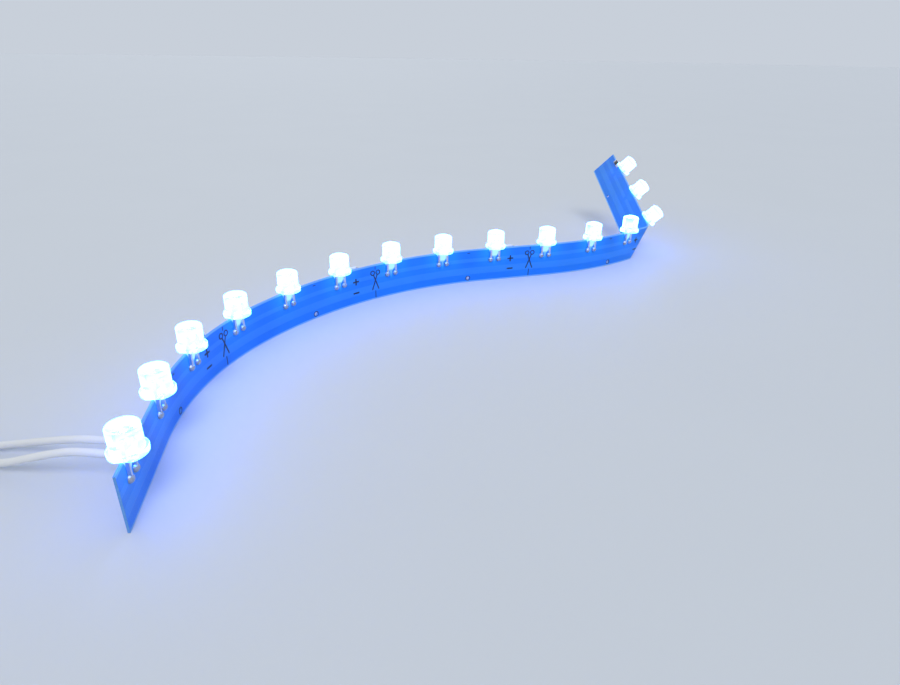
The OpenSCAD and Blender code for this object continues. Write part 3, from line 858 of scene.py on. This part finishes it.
# %% Place the fifteen lenses
DIM_BLUE, FULL_BLUE = (0.0, 0.10, 0.85, 1), (0.085, 0.28, 1.0, 1)
lit_epoxy = finish("lit_epoxy", (0.90, 0.97, 1.0), (0.95, 0.99, 1.0), (0.03, 0.09),
                   grain=2, fine=1.5, depth=0.004,
                   Transmission_Weight=1.0, IOR=1.52, Emission_Strength=5.0)
nodes, links = lit_epoxy.node_tree.nodes, lit_epoxy.node_tree.links
share = socket("Attribute", nodes, attribute_name="lit")
glow = socket("Mix", nodes, data_type="RGBA", in_6=DIM_BLUE, in_7=FULL_BLUE)
links.new(share.outputs["Fac"], glow.inputs[0])
links.new(glow.outputs[2], nodes["Principled BSDF"].inputs["Emission Color"])
for i in range(1, LEDS + 1):
    mesh = lens_mesh.copy()
    mesh.transform(station(led_at(i)) @ Matrix.Translation((0, LED_Y, BOARD_H + STAND_OFF)))
    lens_piece = link(f"lens_{i:02d}", mesh)
    mesh.set_sharp_from_angle(angle=math.radians(35))
    mesh.materials.append(lit_epoxy)
    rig.ride(lens_piece, "root")
    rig.replaces(lens_piece, f"led_{i:02d}_lens")
    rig.slot(lens_piece, "clear_epoxy")
low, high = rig.box("led_15_lens")
print("last lens, mm:", [round(v / MM, 2) for v in (low + high) / 2])

# %% [markdown]
# ## Metal and ceramic
# The lead frames are tinned steel stampings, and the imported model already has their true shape:
# a post, an anvil with its cup, and two square leads. They only need a finish, as do the pads, the
# solder and the glowing chips.

# %% Finish the pieces that keep their shape
lead_finish = finish("tinned_steel", (0.62, 0.62, 0.61), (0.78, 0.78, 0.77), (0.25, 0.48),
                     grain=1.2, fine=7, depth=0.01, metal=1.0)
solder_finish = finish("bright_solder", (0.66, 0.67, 0.69), (0.86, 0.86, 0.87), (0.12, 0.36),
                       grain=0.6, fine=3, depth=0.05, metal=1.0)
# The LEDs' solder joints are painted a dark bluish grey. This is painted shade of each joint and its shadow under the
# LEDs' blue light. Only their higher roughness is the solder's own.
shaded_joint_finish = finish("dull_solder_painted_shade", (0.36, 0.39, 0.44), (0.56, 0.58, 0.62), (0.32, 0.5),
                      grain=0.6, fine=3, depth=0.05, metal=1.0)
pad_finish = finish("tinned_pad", (0.83, 0.60, 0.34), (0.88, 0.74, 0.52), (0.25, 0.5),
                    grain=0.8, fine=6, depth=0.01, metal=1.0)
chip_glow = finish("glowing_chip", (0.75, 0.9, 1.0), (0.9, 0.95, 1.0), (0.3, 0.5),
                   grain=0.2, fine=12, depth=0.002,
                   Emission_Color=(0.35, 0.7, 1.0, 1), Emission_Strength=20.0)
tie_finish = finish("nylon_tie", (0.80, 0.81, 0.82), (0.88, 0.88, 0.88), (0.35, 0.5),
                    grain=2, fine=4, depth=0.01)
kept = {"anode": lead_finish, "cathode": lead_finish, "led_solder": shaded_joint_finish,
        "resistor_solder": solder_finish, "wire_solder": solder_finish, "supply_pads": pad_finish,
        "led_dies": chip_glow}
for node, piece in frame["nodes"].items():
    for ending, material in kept.items():
        if node.endswith(ending):
            for slot in piece.material_slots:
                slot.material = material
print("kept nodes finished:", sum(any(n.endswith(e) for e in kept) for n in frame["nodes"]))

# %% [markdown]
# ## The tie round the coil
# One thin band holds the coil together. A band that is pulled tight takes the shape of what it
# holds, which here is four wires in the inner column and three in the outer one. So its outline is
# the taut line round those wires: four quarter turns about the corner wires, and the straights
# that they leave between them. One of the quarters is short, where the outer column is lower.

# %% Pull a band round seven wires
TIE_ANGLE, TIE_L, TIE_T, TIE_GAP = math.radians(120), 2.5, 0.3, 0.08
inner_r, outer_r = routes["wire_positive"][2], routes["wire_negative"][2]


def layer_z(layer):
    """The height of a layer's middle line."""
    return COIL_LIFT + WIRE_D * (0.5 + layer)


def taut_line(radius):
    """The outline round both columns, as (distance from the coil's axis, height) pairs."""
    slope = math.degrees(math.atan2(outer_r - inner_r, layer_z(3) - layer_z(2)))
    corners = [((inner_r, layer_z(0)), 180, 270), ((outer_r, layer_z(0)), 270, 360),
               ((outer_r, layer_z(2)), 0, slope), ((inner_r, layer_z(3)), slope, 180)]
    return [p for centre, start, end in corners for p in arc(centre, radius, start, end, 8)]


bm = bmesh.new()
verts = [bm.verts.new((r, -TIE_L / 2, z)) for r, z in taut_line((WIRE_D + TIE_T) / 2 + TIE_GAP)]
line = [bm.edges.new((a, b)) for a, b in zip(verts, verts[1:] + verts[:1])]
wide = bmesh.ops.extrude_edge_only(bm, edges=line)["geom"]
far_side = [v for v in wide if isinstance(v, bmesh.types.BMVert)]
bmesh.ops.translate(bm, verts=far_side, vec=(0, TIE_L, 0))
bmesh.ops.recalc_face_normals(bm, faces=bm.faces)
for face in bm.faces:
    face.smooth = True
to_coil = Matrix.Scale(MM, 4) @ Matrix.Translation(SHIFT + Vector((*COIL_AT, 0)))
bm.transform(to_coil @ Matrix.Rotation(TIE_ANGLE, 4, "Z"))
band = link("tie_band", mesh_from(bm, "tie_band"))
band.data.set_sharp_from_angle(angle=math.radians(40))
thick = band.modifiers.new("band_thickness", "SOLIDIFY")
thick.thickness, thick.offset = TIE_T * MM, 0
ease_edges(band, 0.06)
band.data.materials.append(tie_finish)
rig.ride(band, "root")
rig.replaces(band, "coil_tie")
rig.slot(band, "tie_plastic")
print("band:", len(band.data.polygons), "faces")

# %% [markdown]
# ## The chip resistors
# Each group has one chip resistor on the back of the board: a white ceramic block with a black
# glaze on its top and a tinned cap on each end. It is three boxes in one piece, and a small bevel
# on each is what makes it read as a pressed and fired part rather than as a block.

# %% Build and place five resistors
CHIP_L, CHIP_W, CHIP_T, CAP_L, CHIP_AFTER, CHIP_PROUD, SEAT = 3.2, 1.6, 0.55, 0.5, 4.6, 0.5, 0.04
# How far the ceramic stays inside the chip's box at its ends, sides and top, and the same for the
# glaze, which also reaches a little way under the caps.
BODY_END, BODY_SIDE, BODY_TOP, BODY_EASE = 0.1, 0.04, 0.12, 0.02
GLAZE_UNDER, GLAZE_SIDE, GLAZE_FOOT, GLAZE_TOP, GLAZE_EASE = 0.05, 0.08, 0.14, 0.03, 0.04
CAP_EASE, CERAMIC, GLAZE, CAP = 0.07, 0, 1, 2


def eased_block(bm, low, high, ease, slot_index):
    """A box between two corners with its edges bevelled."""
    made = bmesh.ops.create_cube(bm, size=1)["verts"]
    low, high = Vector(low), Vector(high)
    bmesh.ops.scale(bm, verts=made, vec=high - low)
    bmesh.ops.translate(bm, verts=made, vec=(low + high) / 2)
    edges = list({e for v in made for e in v.link_edges})
    for face in {f for v in made for f in v.link_faces}:
        face.material_index = slot_index
    bmesh.ops.bevel(bm, geom=edges, offset=ease, segments=2, profile=0.5, affect="EDGES",
                    material=-1)


bm = bmesh.new()
half_l, half_w = CHIP_L / 2, CHIP_W / 2
body_l, glaze_l = half_l - BODY_END, half_l - CAP_L + GLAZE_UNDER
eased_block(bm, (-body_l, BODY_SIDE, BODY_SIDE - half_w),
            (body_l, CHIP_T - BODY_TOP, half_w - BODY_SIDE), BODY_EASE, CERAMIC)
eased_block(bm, (-glaze_l, CHIP_T - GLAZE_FOOT, GLAZE_SIDE - half_w),
            (glaze_l, CHIP_T - GLAZE_TOP, half_w - GLAZE_SIDE), GLAZE_EASE, GLAZE)
for side in (-1, 1):
    near, far = sorted((side * (half_l - CAP_L), side * half_l))
    eased_block(bm, (near, 0, -half_w), (far, CHIP_T, half_w), CAP_EASE, CAP)
for face in bm.faces:
    face.smooth = True
chip_mesh = mesh_from(bm, "chip_pattern")
ceramic = finish("white_ceramic", (0.74, 0.73, 0.70), (0.82, 0.81, 0.78), (0.5, 0.7),
                 grain=0.5, fine=12, depth=0.006)
glaze = finish("black_glaze", (0.012, 0.012, 0.014), (0.03, 0.03, 0.034), (0.18, 0.32),
               grain=0.6, fine=8, depth=0.006)
cap_finish = finish("tinned_cap", (0.70, 0.70, 0.69), (0.84, 0.83, 0.81), (0.25, 0.45),
                    grain=0.5, fine=8, depth=0.012, metal=1.0)
for g in range(1, LEDS // PER_GROUP + 1):
    mesh = chip_mesh.copy()
    seat = Matrix.Translation((0, BOARD_T / 2 + SEAT, BOARD_H + CHIP_PROUD - CHIP_W / 2))
    mesh.transform(station(led_at(g * PER_GROUP) + CHIP_AFTER) @ seat)
    chip = link(f"chip_{g}", mesh)
    mesh.set_sharp_from_angle(angle=math.radians(50))
    for material in (ceramic, glaze, cap_finish):
        mesh.materials.append(material)
    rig.ride(chip, "root")
    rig.replaces(chip, f"resistor_{g}")
    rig.slot(chip, "chip_body")
print("resistor:", len(chip_mesh.polygons), "faces")

# %% [markdown]
# ## Printed marks
# Dark ink marks the board: at each cut line a pair of scissors over a line, beside it a plus and a
# minus for the two supply rails, and a ring round each pilot hole with a tick above it. They are
# drawn flat from bars and rings, given the thickness of a coat of ink, and bent with the board. A
# picture on the board would do the same, but a real edge stays sharp however near the camera is.

# %% Bars and rings of ink
INK_T, INK_SUNK = 0.02, 0.005
# The scissors: the place, size and stroke of their rings, the two ends and the stroke of their
# blades, and the two parts and the stroke of the cut line that they stand on.
RING_OUT, RING_W, RING_R, RING_STROKE = 0.85, 7.7, 0.6, 0.3
BLADE_TOP, BLADE_TIP, BLADE_STROKE = (0.6, 7.15), (1.05, 2.8), 0.34
CUT_LINES, CUT_STROKE, SIGN_STROKE = ((0.35, 2.5), (8.6, 9.6)), 0.22, 0.22


def bar(bm, start, end, width):
    """A straight stroke between two points of the flat strip, in cells short enough to bend."""
    start, end = Vector(start), Vector(end)
    run = end - start
    cells = max(2, round(run.length / 0.5))
    made = bmesh.ops.create_grid(bm, x_segments=cells, y_segments=1, size=0.5)["verts"]
    bmesh.ops.scale(bm, verts=made, vec=(run.length, width, 1))
    bmesh.ops.rotate(bm, verts=made, matrix=Matrix.Rotation(math.atan2(run.y, run.x), 3, "Z"))
    bmesh.ops.translate(bm, verts=made, vec=(*((start + end) / 2), 0))


def ring(bm, centre, radius, width):
    """A round stroke."""
    edges = []
    for r in (radius - width / 2, radius + width / 2):
        made = bmesh.ops.create_circle(bm, cap_ends=False, segments=24, radius=r)["verts"]
        bmesh.ops.translate(bm, verts=made, vec=(*centre, 0))
        edges += list({e for v in made for e in v.link_edges})
    bmesh.ops.bridge_loops(bm, edges=edges)


def scissors(bm, s):
    """Open scissors, points down, over the cut line at station s."""
    for side in (-1, 1):
        ring(bm, (s + side * RING_OUT, RING_W), RING_R, RING_STROKE)
        bar(bm, (s + side * BLADE_TOP[0], BLADE_TOP[1]), (s - side * BLADE_TIP[0], BLADE_TIP[1]),
            BLADE_STROKE)
    for low, high in CUT_LINES:
        bar(bm, (s, low), (s, high), CUT_STROKE)


def minus(bm, s, w, size=1.0):
    """One stroke, with its middle at station s and height w."""
    bar(bm, (s - size / 2, w), (s + size / 2, w), SIGN_STROKE * size)


def plus(bm, s, w, size=1.0):
    """A minus and an upright stroke over it."""
    minus(bm, s, w, size)
    bar(bm, (s, w - size / 2), (s, w + size / 2), SIGN_STROKE * size)


def ink_piece(name, bm, side):
    """Thickens a flat drawing, lays it on the front (-1) or the back (1) and bends it."""
    bmesh.ops.recalc_face_normals(bm, faces=bm.faces)
    grown = bmesh.ops.extrude_face_region(bm, geom=bm.faces[:] + bm.edges[:] + bm.verts[:])
    tops = [v for v in grown["geom"] if isinstance(v, bmesh.types.BMVert)]
    bmesh.ops.translate(bm, verts=tops, vec=(0, 0, INK_T))
    bmesh.ops.rotate(bm, verts=bm.verts, matrix=Matrix.Rotation(math.pi / 2, 3, "X"))
    offset = side * BOARD_T / 2 + (INK_T if side > 0 else 0) - side * INK_SUNK
    bmesh.ops.translate(bm, verts=bm.verts, vec=(0, offset, 0))
    bend_mesh(bm)
    bmesh.ops.recalc_face_normals(bm, faces=bm.faces)
    piece = link(name, mesh_from(bm, name))
    piece.data.materials.append(ink_finish)
    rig.ride(piece, "root")
    return piece


# %% Print the marks
ink_finish = finish("dark_ink", (0.004, 0.012, 0.05), (0.01, 0.03, 0.10), (0.4, 0.6),
                    grain=0.7, fine=9, depth=0.004)
CUT_SHARE, SIGN_SHARE = 0.69, 0.31
HALO_OUT, HALO_STROKE, TICK_W, TICK_L, TICK_STROKE = 0.15, 0.2, 9.0, 0.8, 0.2
FRONT_PLUS_W, FRONT_MINUS_W, FRONT_SIZE = 6.4, 3.2, 1.9
BACK_PLUS_W, BACK_MINUS_W, PAD_SIDE = 7.0, 3.0, 2.6
SUPPLY_PLUS, SUPPLY_MINUS, SUPPLY_SIZE = 8.6, 19.0, 1.3
bm = bmesh.new()
for g in range(1, LEDS // PER_GROUP):
    third = led_at(g * PER_GROUP)
    scissors(bm, third + CUT_SHARE * PITCH)
    plus(bm, third + SIGN_SHARE * PITCH, FRONT_PLUS_W, FRONT_SIZE)
    minus(bm, third + SIGN_SHARE * PITCH, FRONT_MINUS_W, FRONT_SIZE)
for s in hole_stations:
    ring(bm, (s, HOLE_W), HOLE_D / 2 + HALO_OUT, HALO_STROKE)
    bar(bm, (s - TICK_L / 2, TICK_W), (s + TICK_L / 2, TICK_W), TICK_STROKE)
front_ink = ink_piece("front_marks", bm, -1)
bm = bmesh.new()
plus(bm, SUPPLY_PLUS, BACK_PLUS_W, SUPPLY_SIZE)
minus(bm, SUPPLY_MINUS, BACK_PLUS_W, SUPPLY_SIZE)
for g in range(1, LEDS // PER_GROUP):
    sign_s = led_at(g * PER_GROUP) + CUT_SHARE * PITCH - PAD_SIDE
    plus(bm, sign_s, BACK_PLUS_W)
    minus(bm, sign_s, BACK_MINUS_W)
back_ink = ink_piece("back_marks", bm, 1)
print("faces of ink:", len(front_ink.data.polygons), "in front and", len(back_ink.data.polygons),
      "behind")

# %% Write both boxes and finish
seen_low, seen_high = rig.bounds()
sizes = {"cad": [list(cad_low), list(cad_high)], "visual": [list(seen_low), list(seen_high)]}
with open("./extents.json", "w") as out:
    json.dump(sizes, out)
print("visual box, mm:", [round(1000 * v, 1) for v in (*seen_low, *seen_high)])
